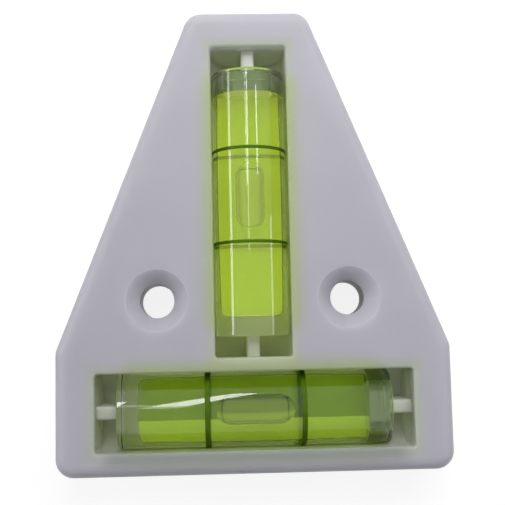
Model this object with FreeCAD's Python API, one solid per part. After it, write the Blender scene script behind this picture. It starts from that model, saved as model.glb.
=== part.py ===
"""Caravan spirit level: a moulded plate that carries two bubble vials at right angles.

The level lies on its back. X runs across its wide end, Y up towards its narrow end and Z out
of its face. The origin is at the middle of the outline, on the back plane. Sizes are in mm.
"""
import FreeCAD
import Part
import math
import os

Vector = FreeCAD.Vector

# Vials: clear tubes, closed at one end and plugged at the other
vial_length = 41.6
vial_radius = 5.75
vial_wall = 2.45  # at both ends of the liquid
vial_end_wall = 3.0
vial_end_bevel = 0.35
bore_bulge = 0.15  # how much wider the barrel-shaped bore is in its middle
plug_length = 3.4
plug_shoulder = 0.6  # step in the bore that the plug seats on
plug_sink = 0.25  # the plug's outer face below the end of the tube
plug_bevel = 0.3

# Gauge rings: two dark bands printed round each tube
ring_spacing = 14.6
cross_ring_width = 0.8
stem_ring_width = 0.5
ring_thickness = 0.05
cross_ring_centre = 0.15  # middle of the two rings, from the tube's middle towards its plug
stem_ring_centre = 0.9

# Bubbles: air that lies against the upper wall of the bore and runs along it
cross_bubble_length = 12.0
stem_bubble_length = 10.6
bubble_radius = 1.85  # half its width, and the radius of its round ends
bubble_depth = 2.2
bubble_chin = 1.2  # radius of its lower edge at both ends
bubble_film = 0.1  # liquid left between the bubble and the narrow ends of the bore
bubble_gap = 0.05  # clearance between the bubble and the liquid round it

# Seats for the vials in the housing
vial_clearance = 0.1
vial_end_clearance = 0.05
vial_recess = 0.15  # top of the vials below the face
pocket_length = 3.2  # from the end of a vial to the end wall of its slot
locating_rib_width = 2.0
locating_rib_drop = 2.6  # top of the locating ribs below the face
locating_rib_radius = 0.4
slot_corner_radius = 0.5
slot_lip_bevel = 0.25
web_between_slots = 2.1

# Housing: an open-backed shell
top_rim = 5.9  # from the narrow end to the slot of the upright vial
base_rim = 3.8  # from the wide end to the slot of the cross vial
side_rim = 6.2  # from each side to the slot of the cross vial
top_side_rim = 3.4  # how far the narrow end reaches past the slot on each side
straight_side = 19.0  # height of the parallel sides above the wide end
outline_radius = 3.0
knee_radius = 3.0  # where the parallel sides turn into the slanted ones
smallest_radius = 0.8
side_draft = 0.25  # how far the outer walls lean in between the back and the face
face_edge_radius = 1.9
face_wall = 1.8
side_wall = 1.6
trough_wall = 1.2
back_gap = 1.05  # underside of the troughs above the back plane
stiffener_width = 1.2
stiffener_gap = 1.0  # underside of the stiffening rib above the back plane

# Countersunk screw holes, one on each side of the upright vial
screw_hole_radius = 2.6
countersink_radius = 4.7
countersink_angle = 90.0
screw_seat_depth = 7.3  # plastic that a screw passes through, from the face
boss_core_radius = 3.8  # hollow behind the screw's seat, open at the back
boss_wall = 1.4
hole_from_stem_slot = 8.7
hole_from_cross_slot = 10.9

# Sizes that follow from the values above
bore_end_radius = vial_radius - vial_wall
plug_radius = bore_end_radius + plug_shoulder
slot_half_width = vial_radius + vial_clearance
slot_length = vial_length + 2 * pocket_length
trough_floor = back_gap + trough_wall
vial_axis_height = trough_floor + slot_half_width
body_depth = vial_axis_height + vial_radius + vial_recess
body_length = top_rim + slot_length + web_between_slots + 2 * slot_half_width + base_rim
base_width = slot_length + 2 * side_rim
top_width = 2 * (slot_half_width + top_side_rim)
base_line = -body_length / 2
top_line = body_length / 2
cross_vial_y = base_line + base_rim + slot_half_width
stem_vial_y = top_line - top_rim - slot_length / 2
screw_hole_x = slot_half_width + hole_from_stem_slot
screw_hole_y = cross_vial_y + slot_half_width + hole_from_cross_slot
boss_radius = boss_core_radius + boss_wall
screw_seat_height = body_depth - screw_seat_depth
liquid_start = vial_end_wall - vial_length / 2
liquid_end = vial_length / 2 - plug_length
across = Vector(1, 0, 0)


def inset_corners(corners, inset):
    """Corners of a closed outline, listed anticlockwise, moved inwards by inset."""
    moved = []
    for i, corner in enumerate(corners):
        before = (corner - corners[i - 1]).normalize()
        after = (corners[(i + 1) % len(corners)] - corner).normalize()
        inward = Vector(-before.y - after.y, before.x + after.x, 0)
        moved.append(corner + inward * (inset / (1 + before.dot(after))))
    return moved


def rounded_wire(corners, radii, z):
    """Closed wire at height z round the corners, each with its own radius."""
    arcs = []
    for i, corner in enumerate(corners):
        back = (corners[i - 1] - corner).normalize()
        ahead = (corners[(i + 1) % len(corners)] - corner).normalize()
        half_angle = back.getAngle(ahead) / 2
        bisector = (back + ahead).normalize()
        tangent = radii[i] / math.tan(half_angle)
        to_arc = radii[i] / math.sin(half_angle) - radii[i]
        lift = Vector(0, 0, z)
        arcs.append([corner + v + lift for v in (back * tangent, bisector * to_arc, ahead * tangent)])
    edges = []
    for i, (start, middle, end) in enumerate(arcs):
        edges.append(Part.Arc(start, middle, end).toShape())
        edges.append(Part.makeLine(end, arcs[(i + 1) % len(arcs)][0]))
    return Part.Wire(edges)


def plate(inset, low, high):
    """Solid with the level's outline between two heights, drafted like the moulding."""
    knee_line = base_line + straight_side
    right = [
        Vector(base_width / 2, base_line, 0),
        Vector(base_width / 2, knee_line, 0),
        Vector(top_width / 2, top_line, 0),
    ]
    left = [Vector(-p.x, p.y, 0) for p in reversed(right)]
    corners = right + left
    radii = [outline_radius, knee_radius, outline_radius, outline_radius, knee_radius, outline_radius]
    wires = []
    for z in (low, high):
        lean = inset + side_draft * z / body_depth
        smaller = [max(r - lean, smallest_radius) for r in radii]
        wires.append(rounded_wire(inset_corners(corners, lean), smaller, z))
    return Part.makeLoft(wires, True, True)


def channel(length, half_width, top):
    """Round-bottomed block along X, from below the vial axis up to a height over it."""
    start = -length / 2
    left_top, right_top = Vector(start, -half_width, top), Vector(start, half_width, top)
    left, right = Vector(start, -half_width, 0), Vector(start, half_width, 0)
    edges = [
        Part.makeLine(left_top, left),
        Part.Arc(left, Vector(start, 0, -half_width), right).toShape(),
        Part.makeLine(right, right_top),
        Part.makeLine(right_top, left_top),
    ]
    return Part.Face(Part.Wire(edges)).extrude(across * length)


def on_level(end, height):
    """True for an edge that lies wholly at one height."""
    return all(abs(vertex.Z - height) < 1e-6 for vertex in end.Vertexes)


def slot_cutter(top):
    """Space for one vial and its end pockets, with rounded upright corners."""
    low = Vector(-slot_length / 2, -slot_half_width, -slot_half_width)
    block = Part.makeBox(slot_length, 2 * slot_half_width, slot_half_width + top, low)
    upright = [e for e in block.Edges if e.BoundBox.ZLength > top]
    rounded = block.makeFillet(slot_corner_radius, upright)
    return rounded.common(channel(slot_length, slot_half_width, top))


def locating_rib():
    """Rib on an end wall of a slot that holds the vial at its distance."""
    length = pocket_length - vial_end_clearance + trough_wall / 2
    low = -slot_half_width - trough_wall / 2
    top = vial_radius + vial_recess - locating_rib_drop
    start = Vector(vial_length / 2 + vial_end_clearance, -locating_rib_width / 2, low)
    block = Part.makeBox(length, locating_rib_width, top - low, start)
    top_edges = [e for e in block.Edges if on_level(e, top) and e.BoundBox.YLength < 1e-6]
    return block.makeFillet(locating_rib_radius, top_edges)


def both_ends(shape):
    """The shape and its copy at the other end of the same vial."""
    other = shape.copy()
    other.rotate(Vector(0, 0, 0), Vector(0, 0, 1), 180)
    return [shape, other]


def in_cross_place(shape):
    """Copy of a shape made round the X axis, placed across the wide end."""
    placed = shape.copy()
    placed.translate(Vector(0, cross_vial_y, vial_axis_height))
    return placed


def in_stem_place(shape):
    """Copy of a shape made round the X axis, turned upright towards the narrow end."""
    placed = shape.copy()
    placed.rotate(Vector(0, 0, 0), Vector(0, 0, 1), 90)
    placed.translate(Vector(0, stem_vial_y, vial_axis_height))
    return placed


def screw_hole(x):
    """Countersink, bore and rear hollow of one screw hole."""
    foot = Vector(x, screw_hole_y, 0)
    sink_slope = math.tan(math.radians(countersink_angle / 2))
    sink_depth = (countersink_radius - screw_hole_radius) / sink_slope
    sink_start = foot + Vector(0, 0, body_depth - sink_depth)
    bore = Part.makeCylinder(screw_hole_radius, body_depth, foot)
    sink = Part.makeCone(screw_hole_radius, countersink_radius, sink_depth, sink_start)
    core = Part.makeCylinder(boss_core_radius, screw_seat_height, foot)
    return bore.fuse([sink, core])


def make_housing():
    """Open-backed shell with two troughs, screw bosses, a stiffener and locating ribs."""
    outside = plate(0, 0, body_depth)
    face_rim = [edge for edge in outside.Edges if on_level(edge, body_depth)]
    outside = outside.makeFillet(face_edge_radius, face_rim)
    shell = outside.cut(plate(side_wall, 0, body_depth - face_wall))

    above_axis = body_depth - vial_axis_height
    trough = channel(slot_length + 2 * trough_wall, slot_half_width + trough_wall, above_axis - face_wall / 2)
    inner_parts = [in_cross_place(trough), in_stem_place(trough)]
    for x in (-screw_hole_x, screw_hole_x):
        inner_parts.append(Part.makeCylinder(boss_radius, body_depth - face_wall / 2, Vector(x, screw_hole_y, 0)))
    stiffener_start = Vector(-base_width / 2, screw_hole_y - stiffener_width / 2, stiffener_gap)
    stiffener_height = body_depth - face_wall / 2 - stiffener_gap
    stiffener = Part.makeBox(base_width, stiffener_width, stiffener_height, stiffener_start)
    inner_parts.append(stiffener.common(plate(side_wall / 2, 0, body_depth)))
    housing = shell.fuse(inner_parts).removeSplitter()

    cutter = slot_cutter(above_axis)
    slots = [in_cross_place(cutter), in_stem_place(cutter)]
    housing = housing.cut(slots + [screw_hole(-screw_hole_x), screw_hole(screw_hole_x)])

    lips = []
    for slot in slots:
        box = slot.BoundBox
        for edge in housing.Edges:
            middle = edge.BoundBox.Center
            if on_level(edge, body_depth) and box.isInside(Vector(middle.x, middle.y, vial_axis_height)):
                lips.append(edge)
    housing = housing.makeChamfer(slot_lip_bevel, lips)

    ribs = both_ends(locating_rib())
    placed_ribs = [in_cross_place(rib) for rib in ribs] + [in_stem_place(rib) for rib in ribs]
    return housing.fuse(placed_ribs).removeSplitter()


def turned(edges):
    """Solid turned round the X axis from the edges of a closed half section."""
    return Part.Face(Part.Wire(edges)).revolve(Vector(0, 0, 0), across, 360)


def lines(*points):
    """Straight edges between (distance along X, radius) points, in their order."""
    vectors = [Vector(x, 0, r) for x, r in points]
    return [Part.makeLine(start, end) for start, end in zip(vectors, vectors[1:])]


def bar(start, end, radius):
    """Round bar on the X axis."""
    return Part.makeCylinder(radius, end - start, Vector(start, 0, 0), across)


def end_edges(shape, x):
    """Edges of a shape that lie wholly at one place along X."""
    return [e for e in shape.Edges if all(abs(vertex.X - x) < 1e-6 for vertex in e.Vertexes)]


def ring_positions(centre):
    """Middles of the two gauge rings, along the tube."""
    return [centre - ring_spacing / 2, centre + ring_spacing / 2]


def make_ring(x, width):
    """Dark band on the outside of the tube."""
    low, high = x - width / 2, x + width / 2
    inside, outside = vial_radius, vial_radius + ring_thickness
    return turned(lines((low, inside), (low, outside), (high, outside), (high, inside), (low, inside)))


def make_bore():
    """Space for the liquid, from the closed end of the tube to the plug."""
    middle = Vector((liquid_start + liquid_end) / 2, 0, bore_end_radius + bore_bulge)
    start, end = Vector(liquid_start, 0, bore_end_radius), Vector(liquid_end, 0, bore_end_radius)
    barrel = Part.Arc(start, middle, end).toShape()
    flat_ends = lines((liquid_end, bore_end_radius), (liquid_end, 0), (liquid_start, 0), (liquid_start, bore_end_radius))
    return turned([barrel] + flat_ends)


def make_tube():
    """Clear tube with bevelled ends, its bore and the seat of the plug."""
    end = vial_length / 2
    outside = bar(-end, end, vial_radius)
    outside = outside.makeChamfer(vial_end_bevel, end_edges(outside, -end) + end_edges(outside, end))
    return outside.cut([make_bore(), bar(liquid_end, end, plug_radius)])


def make_plug():
    """Stopper that seats on the shoulder of the bore."""
    end = vial_length / 2 - plug_sink
    plug = bar(liquid_end, end, plug_radius)
    return plug.makeChamfer(plug_bevel, end_edges(plug, end))


def make_bubble(length, centre, grow):
    """Bubble against the upper side of the bore, made larger all round by grow.

    It is what its three views have in common: the lens shape that it has from the end, the
    long round-ended shape that it has from above, and the rounded lower corners that it has
    from the side.
    """
    top = bore_end_radius - bubble_film + grow
    bottom = bore_end_radius - bubble_film - bubble_depth - grow
    radius = bubble_radius + grow
    straight = length - 2 * bubble_radius
    low = centre - straight / 2 - radius
    end_view = bar(low, low + straight + 2 * radius, top)
    lower_side = Part.makeCylinder(radius, straight + 2 * radius, Vector(low, 0, bottom + radius), across)
    top_view = Part.makeBox(straight, 2 * radius, top - bottom, Vector(low + radius, -radius, bottom))
    round_ends = [
        Part.makeCylinder(radius, top - bottom, Vector(x, 0, bottom))
        for x in (low + radius, low + radius + straight)
    ]
    side_view = Part.makeBox(straight + 2 * radius, 2 * radius, top - bottom, Vector(low, -radius, bottom))
    chins = [e for e in side_view.Edges if on_level(e, bottom) and e.BoundBox.XLength < 1e-6]
    side_view = side_view.makeFillet(bubble_chin, chins)
    return end_view.common(lower_side).common(top_view.fuse(round_ends)).common(side_view).removeSplitter()


def make_liquid(length, centre):
    """Liquid that fills the bore round the bubble."""
    return make_bore().cut(make_bubble(length, centre, bubble_gap))


def write(name, shape):
    """Save one solid under the name of its piece."""
    solids = shape.Solids
    if len(solids) != 1 or not solids[0].isValid():
        raise ValueError(f"{name} is not one sound solid")
    solids[0].exportStep(f"parts/{name}.step")


os.makedirs("parts", exist_ok=True)
write("housing", make_housing())
for vial, place, ring_centre, ring_width, bubble_length in (
    ("cross", in_cross_place, cross_ring_centre, cross_ring_width, cross_bubble_length),
    ("stem", in_stem_place, stem_ring_centre, stem_ring_width, stem_bubble_length),
):
    near, far = ring_positions(ring_centre)
    write(f"{vial}_vial_tube", place(make_tube()))
    write(f"{vial}_vial_plug", place(make_plug()))
    write(f"{vial}_vial_liquid", place(make_liquid(bubble_length, ring_centre)))
    write(f"{vial}_bubble", place(make_bubble(bubble_length, ring_centre, 0)))
    write(f"{vial}_ring_near", place(make_ring(near, ring_width)))
    write(f"{vial}_ring_far", place(make_ring(far, ring_width)))
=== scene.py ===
"""Caravan spirit level: clear vials, moulded plastic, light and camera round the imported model.

The frame is the model's own, in metres: the level lies on its back, X runs across its wide end,
Y up towards its narrow end and Z out of its face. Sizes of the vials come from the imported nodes.
"""
import math
import bmesh
import bpy
from mathutils import Euler, Matrix, Vector


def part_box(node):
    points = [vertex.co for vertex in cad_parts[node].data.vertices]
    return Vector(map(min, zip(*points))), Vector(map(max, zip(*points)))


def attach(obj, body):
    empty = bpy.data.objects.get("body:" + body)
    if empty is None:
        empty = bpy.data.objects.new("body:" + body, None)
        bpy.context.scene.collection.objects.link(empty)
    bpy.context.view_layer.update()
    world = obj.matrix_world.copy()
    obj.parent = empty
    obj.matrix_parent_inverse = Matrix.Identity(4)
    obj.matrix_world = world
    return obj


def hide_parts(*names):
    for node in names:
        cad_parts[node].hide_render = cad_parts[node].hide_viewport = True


MM = 0.001

# Camera, fitted to the photograph
CAMERA_PLACE = Vector((-4.69, -16.12, 155.45)) * MM
CAMERA_TURN = Euler((0.09772, -0.03153, -0.02203))
CAMERA_LENS, CAMERA_SENSOR = 66.79, 36  # focal length and sensor width in mm
CAMERA_CLIP_START = 10 * MM

# Lamps: name, start and end in mm, width in mm, power in watts, whether gloss mirrors it
LAMPS = (
    ("ceiling_tube", (-36, 76, 400), (14, 440, 400), 21, 0.32, True),
    ("ceiling_glow", (-42, 36, 400), (-36, 76, 400), 24, 0.014, True),
    ("upper_left", (-69, 75, 400), (-69, 215, 400), 7, 0.05, True),
    ("faint_left", (-52, 80, 400), (-52, 125, 400), 26, 0.009, True),
    ("upper_right", (185, 88, 400), (185, 144, 400), 30, 0.06, True),
    ("low_left", (-620, -10, 263), (-620, 235, 263), 180, 0.95, True),
    ("low_right", (660, -15, 265), (660, 100, 265), 150, 0.20, True),
    ("soft", (-40, 92, 168), (120, 92, 168), 90, 0.185, False),
)

# Surroundings
WORLD_COLOUR, WORLD_STRENGTH = (0.93, 0.95, 1.0), 0.2
WHITE = (1, 1, 1)
FLOOR_COLOUR, FLOOR_ROUGHNESS = (0.85, 0.85, 0.85), 0.9
FLOOR_BRIGHT = 0.86  # the part of its white that stays the same in a shadow
FLOOR_SHADED = (0.24, 0.24, 0.24)  # the part that the lamps add and a shadow takes away
FLOOR_HALF = 1.5  # half its side
FLOOR_DROP = 0.1 * MM  # below the model's lowest point
BOUNCES = 32

# Optics: refractive indices
ACRYLIC_INDEX = 1.49
LIQUID_INDEX = 1.44
WETTED_INDEX = ACRYLIC_INDEX / LIQUID_INDEX  # acrylic as light meets it from the liquid
BUBBLE_INDEX = 1 / LIQUID_INDEX  # air as light meets it from the liquid
PLASTIC_INDEX = 1.5
PAINT_INDEX = 1.45

# Textures: waves per metre, detail
CLOUD_NOISE = 45, 3
FLOW_NOISE = 140, 1
GRAIN_NOISE = 2600, 2
SATIN_NOISE = 330, 4
HAZE_NOISE = 420, 3
INK_NOISE = 900, 2
INK_GLOSS_NOISE = 1500, 2
NOISE_RANGE = 0.3, 0.7  # the noise outside this range is rare and cut off

# Housing
PLAIN_COLOURS = (0.505, 0.495, 0.55), (0.535, 0.525, 0.58)
HOUSING_ROUGHNESS = 0.38, 0.52
SCATTER_DEPTH = 5 * MM
FLOW_BUMP = 0.05 * MM, 0.35  # height, strength
GRAIN_BUMP = 0.012 * MM, 0.45

# Painted light: the vials' green glow painted into the plastic round their slots, and painted light
# and shade inside the slots
SLOT_BESIDE = 0.1 * MM  # from the side of a tube to the edge of its slot
SLOT_BEYOND = 3.2 * MM  # from the end of a tube to the end of its slot
# painted green glow on the plastic round the slots
GREEN_GLOW_COLOUR = (0.43, 0.50, 0.25)
GREEN_REACH = 3.4 * MM  # from a slot's edge beside the liquid to where the painted glow is gone
SLOT_REACH = 2.0 * MM  # from any edge of a slot to where its weaker painted glow is gone
END_SHARE = 0.45  # strength of that weaker painted glow
SHALLOW = 0.8 * MM, 1.5 * MM  # depths below the face between which the painted glow of the face ends
DEEP = 0.2 * MM, 8 * MM  # depths below the face between which a slot takes its full painted colour
SHELL_FADE = 0.25 * MM, 0.9 * MM  # through a slot's wall, whose back stays plain
END_FADE = 2.2 * MM, 3.8 * MM  # beyond the liquid, where the slot takes the painted light of its end
# painted light and shade inside each slot, tinted with the vials' glow
SLOT_LIGHT_COLOURS = {"cross": (0.42, 0.49, 0.20), "stem": (0.56, 0.64, 0.28)}
SLOT_END_LIGHT_COLOURS = {  # painted light at the ends of the slots, by vial and side, 1 where its plug is
    ("cross", -1): (0.84, 0.86, 0.74),
    ("cross", 1): (0.92, 0.93, 0.84),
    ("stem", -1): (0.74, 0.80, 0.50),
}
LIT_END = ("stem", 1)  # the end whose pocket gets the most painted light
LIT_END_COLOUR = (0.97, 0.98, 0.92)
LIT_END_FADE = 0.4 * MM, 2.0 * MM
LIT_END_DEEP = 0.2 * MM, 1.5 * MM

# Painted shade: a darker strip of the face between the cross slot and the wide end
RIM_SHADE_COLOUR = (0.30, 0.32, 0.31)
RIM_START = -0.3 * MM, 0.3 * MM
RIM_REACH = 3.6 * MM

# Screw holes: painted light in the countersinks and painted shade in the bores
HOLE_X, HOLE_Y = 14.55 * MM, -9.35 * MM  # the other hole mirrors it in X
SINK_LIGHT_COLOUR = (0.565, 0.555, 0.605)
SINK_EDGE = 4.5 * MM, 4.8 * MM  # from the hole's centre
BORE_SHADE_COLOUR = (0.13, 0.125, 0.135)
BORE_EDGE = 2.7 * MM, 2.9 * MM
BORE_DEEP = 2.0 * MM, 2.5 * MM  # depths below the face between which the painted shade of the bore begins

# Vials: clear parts, liquid and ink
TUBE_COLOUR, TUBE_ROUGHNESS = (0.94, 0.98, 0.85), (0.0, 0.03)
WETTED_COLOUR, WETTED_ROUGHNESS = (0.99, 1.0, 0.98), (0.0, 0.01)
PLUG_COLOUR, PLUG_ROUGHNESS = (0.72, 0.86, 0.52), (0.04, 0.12)
BUBBLE_COLOUR = (0.95, 0.95, 0.88)
LIQUID_SURFACE = (0.97, 1.0, 0.9)
SKIN_GLOW_COLOUR = (0.88, 0.94, 0.18)  # painted glow from the liquid's surface, standing in for its fluorescence under the lamps
GLOW_COLOUR = (0.68, 1.0, 0.02)  # painted glow from its depth
DYE_COLOUR, DYE_DENSITY = (0.86, 0.95, 0.04), 270
LIQUID_LIGHT = {  # strengths of the painted glow and skin glow, by part; _shaded and _lit are copies with painted shade and painted light
    "": (3, 0.105),
    "_shaded": (3, 0.0),
    "_lit": (24, 0.03),
}
INK_COLOURS = (0.065, 0.135, 0.004), (0.085, 0.17, 0.005)
INK_ROUGHNESS = 0.35, 0.55
INK_SPECULAR = 0.12

# Vials: shapes
TURNED_SEGMENTS = 128
ARC_STEPS = 6
BARREL_STEPS = 16
SHARP_ANGLE = math.radians(40)
ON_AXIS = 1e-9  # a radius below this counts as none
WETTED_SLOT = 1  # place of the wetted material in tubes and plugs
SUPPORT = 0.08 * MM  # from a corner to the edge loop that holds the shading beside it
LONG_RUN = 10 * SUPPORT  # a run longer than this gets such loops
BORE_BULGE = 0.15 * MM  # from the bore's radius at its ends to that in its middle
SHADE_LINE = -1.1 * MM  # the lamp-side part of the cross vial's liquid, above this, is the copy with painted shade
END_ROUNDING = 0.12 * MM
SEAT_ROUNDING = END_ROUNDING / 3  # at the mouth of the plug's seat
BORE_CORNER_ROUNDING = 0.9 * MM
LIQUID_GAP = 0.02 * MM  # between the mesh of the liquid and the walls round it
PLUG_GAP = 0.03 * MM  # air round the pressed-in plug
RING_SINK = 0.02 * MM  # printed rings reach into the tube, so that they show through it
RING_ROUNDING = 0.015 * MM
RING_STEPS = 3
BUBBLE_NOSE = 2.4 * MM  # length of each rounded end of a bubble
BUBBLE_NOSE_DROP = 0.6  # height of the nose below the bubble's top, in half depths
BUBBLE_AROUND, BUBBLE_ALONG = 48, 24  # faces round a bubble, and steps along each nose

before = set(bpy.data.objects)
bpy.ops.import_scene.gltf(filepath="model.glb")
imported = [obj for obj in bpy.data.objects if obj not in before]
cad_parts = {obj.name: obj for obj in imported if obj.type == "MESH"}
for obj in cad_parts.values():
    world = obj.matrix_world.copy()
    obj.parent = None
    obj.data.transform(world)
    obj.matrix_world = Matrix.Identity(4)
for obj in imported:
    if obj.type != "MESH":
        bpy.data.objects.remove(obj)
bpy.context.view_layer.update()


# Materials

def new_material(name, **sockets):
    """Material with one Principled shader, and the plain values of its sockets."""
    material = bpy.data.materials.new(name)
    material.use_nodes = True
    shader = material.node_tree.nodes["Principled BSDF"]
    for socket, value in sockets.items():
        shader.inputs[socket.replace("_", " ")].default_value = value
    return material, shader


def add_node(tree, kind, **values):
    """Node of a kind, and the plain values of its sockets."""
    node = tree.nodes.new("ShaderNode" + kind)
    for socket, value in values.items():
        node.inputs[socket.replace("_", " ")].default_value = value
    return node


def object_noise(material, scale, detail):
    """Noise that stays with the piece; scale is in waves per metre."""
    tree = material.node_tree
    place = add_node(tree, "TexCoord")
    noise = add_node(tree, "TexNoise", Scale=scale, Detail=detail)
    tree.links.new(place.outputs["Object"], noise.inputs["Vector"])
    return noise.outputs["Fac"]


def spread(material, source, low=0.0, high=1.0):
    """Noise mapped to a range of values, with its flat tails cut off."""
    from_low, from_high = NOISE_RANGE
    node = add_node(
        material.node_tree, "MapRange",
        From_Min=from_low, From_Max=from_high, To_Min=low, To_Max=high,
    )
    material.node_tree.links.new(source, node.inputs["Value"])
    return node.outputs["Result"]


def mix_colours(material, factor, first, second):
    """Colour between two, by a factor from a socket; each is three numbers or a socket."""
    mix = add_node(material.node_tree, "Mix")
    mix.data_type = "RGBA"
    colours = [socket for socket in mix.inputs if socket.type == "RGBA"]
    for socket, colour in zip(colours, (first, second)):
        if isinstance(colour, tuple):
            socket.default_value = (*colour, 1)
        else:
            material.node_tree.links.new(colour, socket)
    material.node_tree.links.new(factor, mix.inputs["Factor"])
    return next(socket for socket in mix.outputs if socket.type == "RGBA")


def bump(material, height, distance, strength, under=None):
    """Normal raised by a texture; distance is the full height in metres."""
    node = add_node(material.node_tree, "Bump", Distance=distance, Strength=strength)
    material.node_tree.links.new(height, node.inputs["Height"])
    if under is not None:
        material.node_tree.links.new(under, node.inputs["Normal"])
    return node.outputs["Normal"]


class Maths:
    """Maths nodes of one material; an operand is a socket or a plain number."""

    def __init__(self, material):
        self.tree = material.node_tree

    def place(self):
        """Sockets with X, Y and Z on the piece."""
        source = add_node(self.tree, "TexCoord")
        split = add_node(self.tree, "SeparateXYZ")
        self.tree.links.new(source.outputs["Object"], split.inputs["Vector"])
        return split.outputs

    def calculate(self, operation, first, second=0):
        """Result of one maths node."""
        node = add_node(self.tree, "Math")
        node.operation = operation
        for i, operand in enumerate((first, second)):
            if isinstance(operand, (int, float)):
                node.inputs[i].default_value = operand
            else:
                self.tree.links.new(operand, node.inputs[i])
        return node.outputs["Value"]

    def plus(self, first, second):
        return self.calculate("ADD", first, second)

    def minus(self, first, second):
        return self.calculate("SUBTRACT", first, second)

    def times(self, first, second):
        return self.calculate("MULTIPLY", first, second)

    def least(self, first, second):
        return self.calculate("MINIMUM", first, second)

    def most(self, first, second):
        return self.calculate("MAXIMUM", first, second)

    def from_line(self, value, line):
        """Distance of a value from a line, on either side."""
        return self.calculate("ABSOLUTE", self.minus(value, line))

    def distance(self, first, second):
        """Distance with these two parts at right angles."""
        squares = [self.times(part, part) for part in (first, second)]
        return self.calculate("SQRT", self.plus(*squares))

    def rise(self, value, low, high):
        """Factor that goes smoothly from nought to one as a value goes from low to high."""
        node = add_node(self.tree, "MapRange", From_Min=low, From_Max=high)
        node.interpolation_type = "SMOOTHSTEP"
        self.tree.links.new(value, node.inputs["Value"])
        return node.outputs["Result"]

    def fall(self, value, low, high):
        """Factor that goes smoothly from one to nought as a value goes from low to high."""
        return self.minus(1, self.rise(value, low, high))


def slot_factors(maths, place, vial):
    """Factors for the painted glow beside one vial's liquid, its slot's footprint, inside and ends.
    """
    low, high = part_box(f"{vial}_vial_tube")
    liquid_low, liquid_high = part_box(f"{vial}_vial_liquid")
    size, middle = high - low, (low + high) / 2
    length = max((0, 1), key=lambda axis: size[axis])
    width = 1 - length
    slot_half = size[width] / 2 + SLOT_BESIDE
    liquid_half = (liquid_high - liquid_low)[length] / 2
    aside = maths.from_line(place[width], middle[width])
    past_side = maths.minus(aside, slot_half)
    past_tube = maths.minus(maths.from_line(place[length], middle[length]), size[length] / 2)
    past_end = maths.minus(past_tube, SLOT_BEYOND)
    footprint = maths.fall(maths.most(past_side, past_end), 0, SLOT_REACH)
    from_liquid = maths.minus(place[length], (liquid_low + liquid_high)[length] / 2)
    past_liquid = maths.minus(maths.calculate("ABSOLUTE", from_liquid), liquid_half)
    gap = maths.distance(maths.most(past_side, 0), maths.most(past_liquid, 0))
    halo = maths.fall(gap, 0, GREEN_REACH)
    drop = maths.least(maths.minus(place["Z"], middle.z), 0)
    past_wall = maths.minus(maths.distance(aside, drop), slot_half)
    inside = maths.fall(maths.most(past_wall, past_end), *SHELL_FADE)
    ends = {}
    for side in (-1, 1):
        beyond = maths.minus(maths.times(from_liquid, side), liquid_half)
        reach = LIT_END_FADE if (vial, side) == LIT_END else END_FADE
        ends[vial, side] = maths.times(maths.rise(beyond, *reach), inside)
    return halo, footprint, inside, ends


def rim_shade_factor(maths, place, vial):
    """Factor for the painted shade on the strip of the face between a vial's slot and the wide end.
    """
    low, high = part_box(f"{vial}_vial_tube")
    below = maths.minus(low.y - SLOT_BESIDE, place["Y"])
    past_tube = maths.minus(maths.from_line(place["X"], (low + high).x / 2), (high - low).x / 2)
    strip = maths.times(maths.rise(below, *RIM_START), maths.fall(below, 0, RIM_REACH))
    return maths.times(strip, maths.fall(past_tube, 0, RIM_REACH))


def hole_light_and_shade(maths, place, depth):
    """Factors for the painted light in the countersinks and the painted shade in the bores of the
    screw holes.
    """
    aside = maths.minus(maths.calculate("ABSOLUTE", place["X"]), HOLE_X)
    gap = maths.distance(aside, maths.minus(place["Y"], HOLE_Y))
    bore = maths.times(maths.fall(gap, *BORE_EDGE), maths.rise(depth, *BORE_DEEP))
    return maths.fall(gap, *SINK_EDGE), bore


def housing_colour(material, plain):
    """Plain colour with painted green glow round the slots, painted light and shade inside them and
    at their ends, a painted shade strip below the cross slot, and painted light and shade in the
    screw holes.
    """
    maths = Maths(material)
    place = maths.place()
    depth = maths.minus(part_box("housing")[1].z, place["Z"])
    cross_halo, in_cross, inside_cross, cross_ends = slot_factors(maths, place, "cross")
    stem_halo, in_stem, inside_stem, stem_ends = slot_factors(maths, place, "stem")
    ends = {**cross_ends, **stem_ends}
    inside = maths.most(inside_cross, inside_stem)
    shallow = maths.fall(depth, *SHALLOW)
    # painted green glow beside the liquid and round the slots
    along_liquid = maths.times(maths.plus(cross_halo, stem_halo), 1 - END_SHARE)
    round_slot = maths.times(maths.plus(in_cross, in_stem), END_SHARE)
    near = maths.least(maths.plus(along_liquid, round_slot), 1)
    near = maths.times(near, maths.most(shallow, inside))
    # painted shade on the strip below the cross slot
    rim = maths.times(rim_shade_factor(maths, place, "cross"), shallow)
    # painted light in the countersinks and painted shade in the bores
    sink, bore = hole_light_and_shade(maths, place, depth)
    # painted light and shade inside the slots, and painted light at their ends
    slot = mix_colours(material, in_cross, SLOT_LIGHT_COLOURS["stem"], SLOT_LIGHT_COLOURS["cross"])
    for end, colour in SLOT_END_LIGHT_COLOURS.items():
        slot = mix_colours(material, ends[end], slot, colour)
    shade = plain
    for factor, colour in (
        (near, GREEN_GLOW_COLOUR),
        (rim, RIM_SHADE_COLOUR),
        (maths.times(maths.rise(depth, *DEEP), inside), slot),
        (maths.times(maths.rise(depth, *LIT_END_DEEP), ends[LIT_END]), LIT_END_COLOUR),
        (sink, SINK_LIGHT_COLOUR),
        (bore, BORE_SHADE_COLOUR),
    ):
        shade = mix_colours(material, factor, shade, colour)
    return shade


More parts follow.
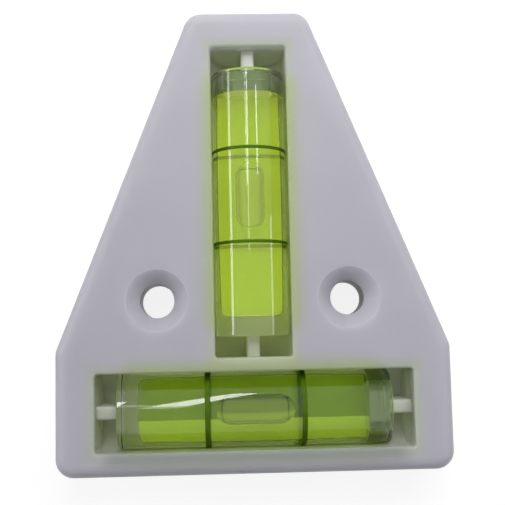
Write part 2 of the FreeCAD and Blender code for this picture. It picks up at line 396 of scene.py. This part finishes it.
def housing_plastic():
    """Pale lilac-grey moulded plastic, slightly uneven and finely grained."""
    material, shader = new_material(
        "housing_plastic", IOR=PLASTIC_INDEX, Subsurface_Weight=1.0,
        Subsurface_Scale=SCATTER_DEPTH, Subsurface_Radius=(1.0, 1.0, 1.0),
    )
    links = material.node_tree.links
    cloud = spread(material, object_noise(material, *CLOUD_NOISE))
    plain = mix_colours(material, cloud, *PLAIN_COLOURS)
    satin = spread(material, object_noise(material, *SATIN_NOISE), *HOUSING_ROUGHNESS)
    flow = bump(material, object_noise(material, *FLOW_NOISE), *FLOW_BUMP)
    grain = bump(material, object_noise(material, *GRAIN_NOISE), *GRAIN_BUMP, under=flow)
    links.new(housing_colour(material, plain), shader.inputs["Base Color"])
    links.new(satin, shader.inputs["Roughness"])
    links.new(grain, shader.inputs["Normal"])
    return material


def acrylic(name, index, colour, roughness):
    """Clear acrylic with faint draw marks in its gloss."""
    material, shader = new_material(
        name, IOR=index, Transmission_Weight=1.0, Base_Color=(*colour, 1),
    )
    haze = spread(material, object_noise(material, *HAZE_NOISE), *roughness)
    material.node_tree.links.new(haze, shader.inputs["Roughness"])
    return material


def liquid(part):
    """Yellow-green liquid with a painted glow that stands in for its dye's fluorescence under the
    lamps; index 1 as the walls round it bend light.
    """
    glow_strength, skin_strength = LIQUID_LIGHT[part]
    material, shader = new_material(
        "vial_liquid" + part, IOR=1.0, Roughness=0.0, Transmission_Weight=1.0,
        Base_Color=(*LIQUID_SURFACE, 1),
        Emission_Color=(*SKIN_GLOW_COLOUR, 1), Emission_Strength=skin_strength,
    )
    tree = material.node_tree
    dye = add_node(tree, "VolumeAbsorption", Color=(*DYE_COLOUR, 1), Density=DYE_DENSITY)
    glow = add_node(tree, "Emission", Color=(*GLOW_COLOUR, 1), Strength=glow_strength)
    both = add_node(tree, "AddShader")
    tree.links.new(dye.outputs["Volume"], both.inputs[0])
    tree.links.new(glow.outputs["Emission"], both.inputs[1])
    tree.links.new(both.outputs["Shader"], tree.nodes["Material Output"].inputs["Volume"])
    return material


def bubble_air():
    """Air seen from inside the liquid."""
    material = bpy.data.materials.new("bubble_air")
    material.use_nodes = True
    tree = material.node_tree
    tree.nodes.remove(tree.nodes["Principled BSDF"])
    glass = add_node(
        tree, "BsdfGlass", IOR=BUBBLE_INDEX, Color=(*BUBBLE_COLOUR, 1), Roughness=0.0,
    )
    tree.links.new(glass.outputs["BSDF"], tree.nodes["Material Output"].inputs["Surface"])
    return material


def ring_paint():
    """Dark green ink with a slightly uneven gloss."""
    material, shader = new_material(
        "ring_paint", IOR=PAINT_INDEX, Specular_IOR_Level=INK_SPECULAR,
    )
    links = material.node_tree.links
    cloud = spread(material, object_noise(material, *INK_NOISE))
    gloss = spread(material, object_noise(material, *INK_GLOSS_NOISE), *INK_ROUGHNESS)
    links.new(mix_colours(material, cloud, *INK_COLOURS), shader.inputs["Base Color"])
    links.new(gloss, shader.inputs["Roughness"])
    return material


# Vials

def vial_place(vial):
    """Matrix from a vial's own frame, with X along the tube towards its plug, to the model's."""
    low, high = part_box(f"{vial}_vial_tube")
    size = high - low
    turn = math.pi / 2 if size.y > size.x else 0
    return Matrix.Translation((low + high) / 2) @ Matrix.Rotation(turn, 4, "Z")


def box_in_vial(place, node):
    """Lowest and highest corners of a CAD node in its vial's own frame."""
    corners = [place.inverted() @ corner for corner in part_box(node)]
    low = Vector([min(values) for values in zip(*corners)])
    high = Vector([max(values) for values in zip(*corners)])
    return low, high


def rounded_path(corners, steps=ARC_STEPS):
    """Points (x, radius) along straight runs; corners are (x, radius, rounding)."""
    points = []
    for i, (x, r, rounding) in enumerate(corners):
        corner = Vector((x, r))
        if not rounding:
            points.append(corner)
            continue
        before = (Vector(corners[i - 1][:2]) - corner).normalized()
        after = (Vector(corners[i + 1][:2]) - corner).normalized()
        half_angle = before.angle(after) / 2
        centre = corner + (before + after).normalized() * (rounding / math.sin(half_angle))
        reach = rounding / math.tan(half_angle)
        start = (corner + before * reach - centre).normalized()
        end = (corner + after * reach - centre).normalized()
        for step in range(steps + 1):
            points.append(centre + start.slerp(end, step / steps) * rounding)
    return points


def with_support(path):
    """Path with a point close to both ends of each long run, so that its shading stays flat."""
    points = [Vector(path[0])]
    for before, after in zip(path, path[1:]):
        run = Vector(after) - Vector(before)
        if run.length > LONG_RUN:
            step = run.normalized() * SUPPORT
            points += [Vector(before) + step, Vector(after) - step]
        points.append(Vector(after))
    return points


def bore_radius_at_ends(middle_radius):
    """Bore radius at both ends of the liquid, where the barrel shape is narrowest."""
    return middle_radius - BORE_BULGE


def barrel(start, end, middle_radius):
    """Corners along a bore that is widest in its middle."""
    end_radius = bore_radius_at_ends(middle_radius)
    corners = []
    for step in range(BARREL_STEPS + 1):
        share = step / BARREL_STEPS
        bulge = 1 - (2 * share - 1) ** 2
        radius = end_radius + (middle_radius - end_radius) * bulge
        corners.append((start + (end - start) * share, radius, 0))
    return corners


def finish_mesh(name, shape, place, *materials):
    """Object with a bmesh's faces, smooth but for its sharp edges."""
    bmesh.ops.recalc_face_normals(shape, faces=shape.faces)
    mesh = bpy.data.meshes.new(name)
    shape.to_mesh(mesh)
    shape.free()
    mesh.transform(place)
    mesh.shade_smooth()
    mesh.set_sharp_from_angle(angle=SHARP_ANGLE)
    for material in materials:
        mesh.materials.append(MATERIALS[material])
    piece = bpy.data.objects.new(name, mesh)
    bpy.context.scene.collection.objects.link(piece)
    return piece


def turned(name, path, place, *materials, closed=False):
    """Piece turned round the X axis; a closed path makes a band, an open one ends on the axis."""
    shape = bmesh.new()
    angles = [2 * math.pi * i / TURNED_SEGMENTS for i in range(TURNED_SEGMENTS)]
    rings = []
    for x, r in with_support(path):
        if r < ON_AXIS:
            rings.append([shape.verts.new((x, 0, 0))])
        else:
            rings.append([shape.verts.new((x, r * math.cos(a), r * math.sin(a))) for a in angles])
    pairs = list(zip(rings, rings[1:]))
    if closed:
        pairs.append((rings[-1], rings[0]))
    for first, second in pairs:
        for i in range(TURNED_SEGMENTS):
            j = (i + 1) % TURNED_SEGMENTS
            near = [first[k % len(first)] for k in (i, j)]
            far = [second[k % len(second)] for k in (j, i)]
            shape.faces.new(list(dict.fromkeys(near + far)))
    return finish_mesh(name, shape, place, *materials)


def make_tube(vial, place):
    """Clear tube: rounded ends, plug seat and barrel-shaped bore."""
    low, high = box_in_vial(place, f"{vial}_vial_tube")
    bore_low, bore_high = box_in_vial(place, f"{vial}_vial_liquid")
    plug_radius = box_in_vial(place, f"{vial}_vial_plug")[1].z
    corners = [
        (low.x, 0, 0),
        (low.x, high.z, END_ROUNDING),
        (high.x, high.z, END_ROUNDING),
        (high.x, plug_radius, SEAT_ROUNDING),
        (bore_high.x, plug_radius, 0),
        *barrel(bore_high.x, bore_low.x + BORE_CORNER_ROUNDING, bore_high.z),
        (bore_low.x, bore_radius_at_ends(bore_high.z), BORE_CORNER_ROUNDING),
        (bore_low.x, 0, 0),
    ]
    piece = turned(f"{vial}_clear_tube", rounded_path(corners), place, "tube", "wetted")
    inverse = place.inverted()
    for face in piece.data.polygons:
        middle = inverse @ face.center
        inside = math.hypot(middle.y, middle.z) < bore_high.z + LIQUID_GAP
        if inside and bore_low.x - LIQUID_GAP < middle.x < bore_high.x - LIQUID_GAP:
            face.material_index = WETTED_SLOT
    return piece


def make_liquid(vial, place, part=""):
    """Liquid that fills the bore."""
    low, high = box_in_vial(place, f"{vial}_vial_liquid")
    radius = high.z - LIQUID_GAP
    start, end = low.x + LIQUID_GAP, high.x - LIQUID_GAP
    corners = [
        (start, 0, 0),
        (start, bore_radius_at_ends(radius), BORE_CORNER_ROUNDING),
        *barrel(start + BORE_CORNER_ROUNDING, end, radius),
        (end, 0, 0),
    ]
    return turned(f"{vial}_green_liquid{part}", rounded_path(corners), place, "liquid" + part)


def cut_lengthwise(piece, place, y, keep):
    """Keeps a closed piece on one side (1 or -1) of a plane along its vial, and closes it."""
    shape = bmesh.new()
    shape.from_mesh(piece.data)
    across = (place.to_3x3() @ Vector((0, 1, 0))) * keep
    cut = bmesh.ops.bisect_plane(
        shape, geom=shape.verts[:] + shape.edges[:] + shape.faces[:],
        plane_co=place @ Vector((0, y, 0)), plane_no=across, clear_inner=True,
    )
    rim = [item for item in cut["geom_cut"] if isinstance(item, bmesh.types.BMEdge)]
    bmesh.ops.edgeloop_fill(shape, edges=rim)
    bmesh.ops.recalc_face_normals(shape, faces=shape.faces)
    shape.to_mesh(piece.data)
    shape.free()
    piece.data.set_sharp_from_angle(angle=SHARP_ANGLE)


def make_cross_liquid(place):
    """The cross vial's liquid in two copies: a painted shaded one towards the lamps, where its slot
    would shade it, and a painted lit one beyond.
    """
    pieces = []
    for part, keep in (("_shaded", 1), ("_lit", -1)):
        piece = make_liquid("cross", place, part)
        cut_lengthwise(piece, place, SHADE_LINE + keep * LIQUID_GAP / 2, keep)
        pieces.append(piece)
    return pieces


def make_plug(vial, place):
    """Plug pressed into the end of the tube."""
    low, high = box_in_vial(place, f"{vial}_vial_plug")
    start, radius = low.x + LIQUID_GAP, high.z - PLUG_GAP
    corners = [
        (start, 0, 0),
        (start, radius, END_ROUNDING),
        (high.x, radius, END_ROUNDING),
        (high.x, 0, 0),
    ]
    piece = turned(f"{vial}_end_plug", rounded_path(corners), place, "plug", "wetted")
    inverse = place.inverted()
    for face in piece.data.polygons:
        if (inverse @ face.center).x < start + LIQUID_GAP:
            face.material_index = WETTED_SLOT
    return piece


def make_ring(vial, side, place):
    """Printed ring with soft edges."""
    low, high = box_in_vial(place, f"{vial}_ring_{side}")
    inner_radius = box_in_vial(place, f"{vial}_vial_tube")[1].z - RING_SINK
    corners = [
        (low.x, inner_radius, 0),
        (low.x, high.z, RING_ROUNDING),
        (high.x, high.z, RING_ROUNDING),
        (high.x, inner_radius, 0),
    ]
    path = rounded_path(corners, RING_STEPS)
    return turned(f"{vial}_gauge_ring_{side}", path, place, "ring", closed=True)


def make_bubble(vial, place):
    """Bubble with rounded noses, flattened against the upper side of the bore."""
    low, high = box_in_vial(place, f"{vial}_bubble")
    middle, half = (low + high) / 2, (high - low) / 2
    straight = half.x - BUBBLE_NOSE
    nose = []  # places along the bubble from its tip, and its width there as a share
    for i in range(1, BUBBLE_ALONG):
        turn = math.pi / 2 * i / BUBBLE_ALONG
        nose.append((straight + BUBBLE_NOSE * math.cos(turn), math.sin(turn)))
    stations = nose + [(0, 1)] + [(-x, share) for x, share in reversed(nose)]
    shape = bmesh.new()
    angles = [2 * math.pi * i / BUBBLE_AROUND for i in range(BUBBLE_AROUND)]
    neighbours = [(i, (i + 1) % BUBBLE_AROUND) for i in range(BUBBLE_AROUND)]
    rings = []
    for x, share in stations:
        height = high.z - half.z * (share + (1 - share) * BUBBLE_NOSE_DROP)
        rings.append([shape.verts.new((
            middle.x + x,
            half.y * share * math.cos(angle),
            height + half.z * share * math.sin(angle),
        )) for angle in angles])
    nose_height = high.z - half.z * BUBBLE_NOSE_DROP
    tips = [shape.verts.new((middle.x + side * half.x, 0, nose_height)) for side in (1, -1)]
    for first, second in zip(rings, rings[1:]):
        for i, j in neighbours:
            shape.faces.new((first[i], first[j], second[j], second[i]))
    for tip, ring in zip(tips, (rings[0], rings[-1])):
        for i, j in neighbours:
            shape.faces.new((tip, ring[i], ring[j]))
    return finish_mesh(f"{vial}_air_bubble", shape, place, "bubble")


def dress_vial(vial):
    """Makes one vial's pieces, each in place of its CAD node."""
    place = vial_place(vial)
    liquids = make_cross_liquid(place) if vial == "cross" else [make_liquid(vial, place)]
    for piece, node, body, slot in (
        *((liquid, f"{vial}_vial_liquid", "level", "vial_liquid") for liquid in liquids),
        (make_tube(vial, place), f"{vial}_vial_tube", "level", "clear_acrylic"),
        (make_plug(vial, place), f"{vial}_vial_plug", "level", "plug_acrylic"),
        (make_bubble(vial, place), f"{vial}_bubble", f"{vial}_air", "bubble_air"),
        (make_ring(vial, "near", place), f"{vial}_ring_near", "level", "ring_paint"),
        (make_ring(vial, "far", place), f"{vial}_ring_far", "level", "ring_paint"),
    ):
        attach(piece, body)
        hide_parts(node)


# Stage

def white_to_sight(tree, seen, lit):
    """Shader that shows seen to the camera and in gloss and glass, and lit to all other light."""
    path = add_node(tree, "LightPath")
    highest = path.outputs["Is Camera Ray"]
    for name in ("Is Glossy Ray", "Is Transmission Ray"):
        larger = add_node(tree, "Math")
        larger.operation = "MAXIMUM"
        tree.links.new(highest, larger.inputs[0])
        tree.links.new(path.outputs[name], larger.inputs[1])
        highest = larger.outputs["Value"]
    mix = add_node(tree, "MixShader")
    tree.links.new(highest, mix.inputs["Fac"])
    tree.links.new(lit, mix.inputs[1])
    tree.links.new(seen, mix.inputs[2])
    return mix.outputs["Shader"]


def make_world():
    """Even studio surroundings, white where they are seen."""
    world = bpy.data.worlds.new("studio")
    bpy.context.scene.world = world
    world.use_nodes = True
    tree = world.node_tree
    lit = tree.nodes["Background"]
    lit.inputs["Color"].default_value = (*WORLD_COLOUR, 1)
    lit.inputs["Strength"].default_value = WORLD_STRENGTH
    seen = add_node(tree, "Background", Color=(*WHITE, 1), Strength=1.0)
    shader = white_to_sight(tree, seen.outputs["Background"], lit.outputs["Background"])
    tree.links.new(shader, tree.nodes["World Output"].inputs["Surface"])


def make_floor():
    """Plain white floor that keeps a soft shadow."""
    shape = bmesh.new()
    shape.faces.new([
        shape.verts.new((x * FLOOR_HALF, y * FLOOR_HALF, -FLOOR_DROP))
        for x, y in ((-1, -1), (1, -1), (1, 1), (-1, 1))
    ])
    floor = finish_mesh("floor", shape, Matrix.Identity(4))
    material, shader = new_material(
        "floor_white", Base_Color=(*FLOOR_COLOUR, 1), Roughness=FLOOR_ROUGHNESS,
    )
    tree = material.node_tree
    bright = add_node(tree, "Emission", Color=(*WHITE, 1), Strength=FLOOR_BRIGHT)
    shaded = add_node(tree, "BsdfDiffuse", Color=(*FLOOR_SHADED, 1))
    both = add_node(tree, "AddShader")
    tree.links.new(bright.outputs["Emission"], both.inputs[0])
    tree.links.new(shaded.outputs["BSDF"], both.inputs[1])
    surface = white_to_sight(tree, both.outputs["Shader"], shader.outputs["BSDF"])
    tree.links.new(surface, tree.nodes["Material Output"].inputs["Surface"])
    floor.data.materials.append(material)


def make_lamp(name, start, end, width, power, mirrored):
    """Soft lamp as a strip from one place in mm to another, turned to face the model."""
    start, end = Vector(start) * MM, Vector(end) * MM
    along = (end - start).normalized()
    back = (start + end) / 2
    back = (back - along * back.dot(along)).normalized()
    lamp = bpy.data.lights.new(name, "AREA")
    lamp.shape = "RECTANGLE"
    lamp.size, lamp.size_y = width * MM, (end - start).length
    lamp.energy = power
    item = bpy.data.objects.new(name, lamp)
    bpy.context.scene.collection.objects.link(item)
    turn = Matrix((along.cross(back), along, back)).transposed().to_4x4()
    item.matrix_world = Matrix.Translation((start + end) / 2) @ turn
    item.visible_camera = False
    item.visible_transmission = False  # or its image in the tubes shows as false bands
    item.visible_glossy = mirrored


def make_camera():
    """Camera at the photograph's viewing angle."""
    camera = bpy.data.cameras.new("camera")
    camera.lens = CAMERA_LENS
    camera.sensor_width = CAMERA_SENSOR
    camera.clip_start = CAMERA_CLIP_START
    item = bpy.data.objects.new("camera", camera)
    bpy.context.scene.collection.objects.link(item)
    item.location = CAMERA_PLACE
    item.rotation_euler = CAMERA_TURN
    bpy.context.scene.camera = item


make_camera()
MATERIALS = {
    "housing": housing_plastic(),
    "tube": acrylic("clear_acrylic", ACRYLIC_INDEX, TUBE_COLOUR, TUBE_ROUGHNESS),
    "wetted": acrylic("wetted_acrylic", WETTED_INDEX, WETTED_COLOUR, WETTED_ROUGHNESS),
    "plug": acrylic("plug_acrylic", ACRYLIC_INDEX, PLUG_COLOUR, PLUG_ROUGHNESS),
    "liquid": liquid(""),
    "liquid_shaded": liquid("_shaded"),
    "liquid_lit": liquid("_lit"),
    "bubble": bubble_air(),
    "ring": ring_paint(),
}
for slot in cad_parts["housing"].material_slots:
    slot.material = MATERIALS["housing"]
for vial in ("cross", "stem"):
    dress_vial(vial)

make_world()
make_floor()
for lamp in LAMPS:
    make_lamp(*lamp)

scene = bpy.context.scene
scene.view_settings.view_transform = "Standard"
scene.cycles.use_denoising = True
scene.cycles.max_bounces = BOUNCES
scene.cycles.transmission_bounces = BOUNCES
scene.cycles.transparent_max_bounces = BOUNCES
